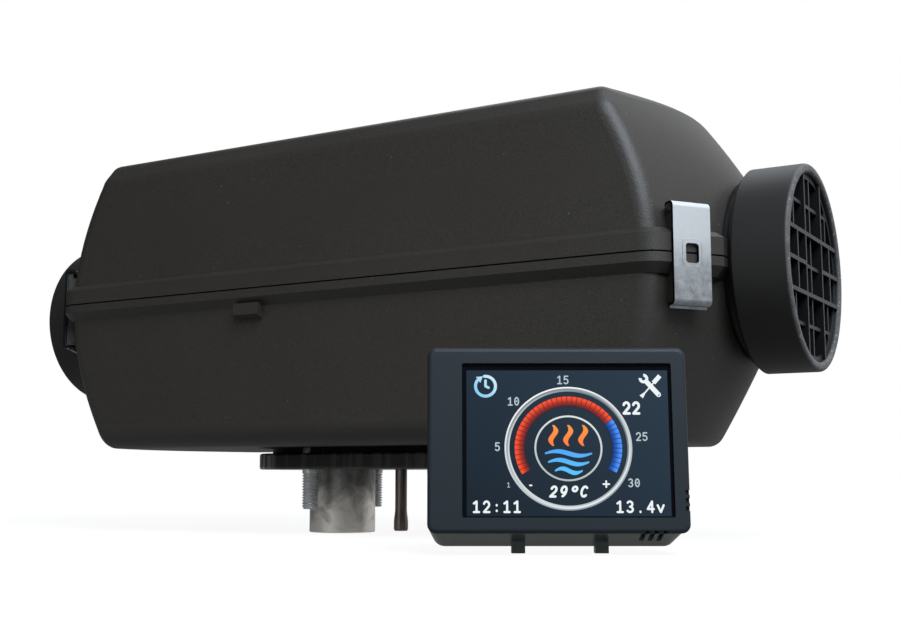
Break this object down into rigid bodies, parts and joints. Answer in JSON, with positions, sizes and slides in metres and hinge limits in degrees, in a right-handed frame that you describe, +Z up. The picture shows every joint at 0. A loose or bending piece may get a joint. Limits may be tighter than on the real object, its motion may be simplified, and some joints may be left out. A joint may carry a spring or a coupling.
{
  "type": "diesel air heater",
  "caption": "Diesel-fired parking air heater in a two-shell moulded casing with guarded duct rings, spring clips, flanged pipe stubs and a separate colour touch panel.",
  "frame": {"origin": "middle of the four mounting studs, on the underside of the flange gasket", "axes": "+X along the heater towards the air inlet, +Z up from the mounting plate, -Y towards the side with the touch panel"},
  "size_m": [0.3112, 0.1687, 0.1422],
  "materials": {
    "casing": "matte, fine grain",
    "ring_plastic": "satin",
    "rubber": "semi-gloss",
    "clip_steel": "bright rolled",
    "zinc": "bright zinc",
    "pipe_steel": "mottled, scaled",
    "fuel_steel": "drawn",
    "cast_aluminium": "as cast",
    "burner_steel": "heat-resisting sheet",
    "fibre": "pressed fibre",
    "motor_steel": "machined",
    "wheel_aluminium": "satin",
    "fan_plastic": "satin",
    "board": "solder mask",
    "panel_plastic": "satin",
    "screen": "glossy",
    "socket_plastic": "satin"
  },
  "bodies": {
    "heater": {"upper_shell": "casing", "lower_shell": "casing", "cable_grommet": "rubber", "inlet_ring": "ring_plastic", "outlet_ring": "ring_plastic", "inlet_grille": "ring_plastic", "outlet_grille": "ring_plastic", "flange_gasket": "rubber", "mounting_studs": "zinc", "exhaust_pipe": "pipe_steel", "intake_pipe": "pipe_steel", "fuel_pipe": "fuel_steel", "heat_exchanger": "cast_aluminium", "burner_head": "burner_steel", "flame_tube": "burner_steel", "glow_plug": "burner_steel", "overheat_sensor": "burner_steel", "burner_gasket": "fibre", "blower_housing": "cast_aluminium", "blower_screws": "zinc", "blower_motor": "motor_steel", "motor_bearings": "motor_steel", "control_housing": "fan_plastic", "control_board": "board"},
    "rotor": {"rotor_shaft": "motor_steel", "air_impeller": "fan_plastic", "combustion_impeller": "wheel_aluminium"},
    "clip_inlet_front": {"clip_inlet_front": "clip_steel"},
    "clip_inlet_rear": {"clip_inlet_rear": "clip_steel"},
    "clip_outlet_front": {"clip_outlet_front": "clip_steel"},
    "clip_outlet_rear": {"clip_outlet_rear": "clip_steel"},
    "panel": {"panel_bezel": "panel_plastic", "panel_display": "screen", "panel_board": "board", "panel_back": "panel_plastic", "panel_socket": "socket_plastic", "panel_screws": "zinc"}
  },
  "joints": [
    {"name": "rotor_spin", "type": "hinge", "parent": "heater", "child": "rotor", "pos_m": [0, 0, 0.0634], "axis": [1, 0, 0], "continuous": true},
    {"name": "clip_inlet_front_swing", "type": "hinge", "parent": "heater", "child": "clip_inlet_front", "pos_m": [0.12743, -0.04366, 0.0779], "axis": [-0.585, -0.8111, 0], "range_deg": [0, 50]},
    {"name": "clip_inlet_rear_swing", "type": "hinge", "parent": "heater", "child": "clip_inlet_rear", "pos_m": [0.12743, 0.04366, 0.0779], "axis": [0.585, -0.8111, 0], "range_deg": [0, 50]},
    {"name": "clip_outlet_front_swing", "type": "hinge", "parent": "heater", "child": "clip_outlet_front", "pos_m": [-0.12743, -0.04366, 0.0779], "axis": [-0.585, 0.8111, 0], "range_deg": [0, 50]},
    {"name": "clip_outlet_rear_swing", "type": "hinge", "parent": "heater", "child": "clip_outlet_rear", "pos_m": [-0.12743, 0.04366, 0.0779], "axis": [0.585, 0.8111, 0], "range_deg": [0, 50]},
    {"name": "panel_lift", "type": "slide", "parent": "heater", "child": "panel", "axis": [0, 0, 1], "range_m": [0, 0.06]}
  ]
}
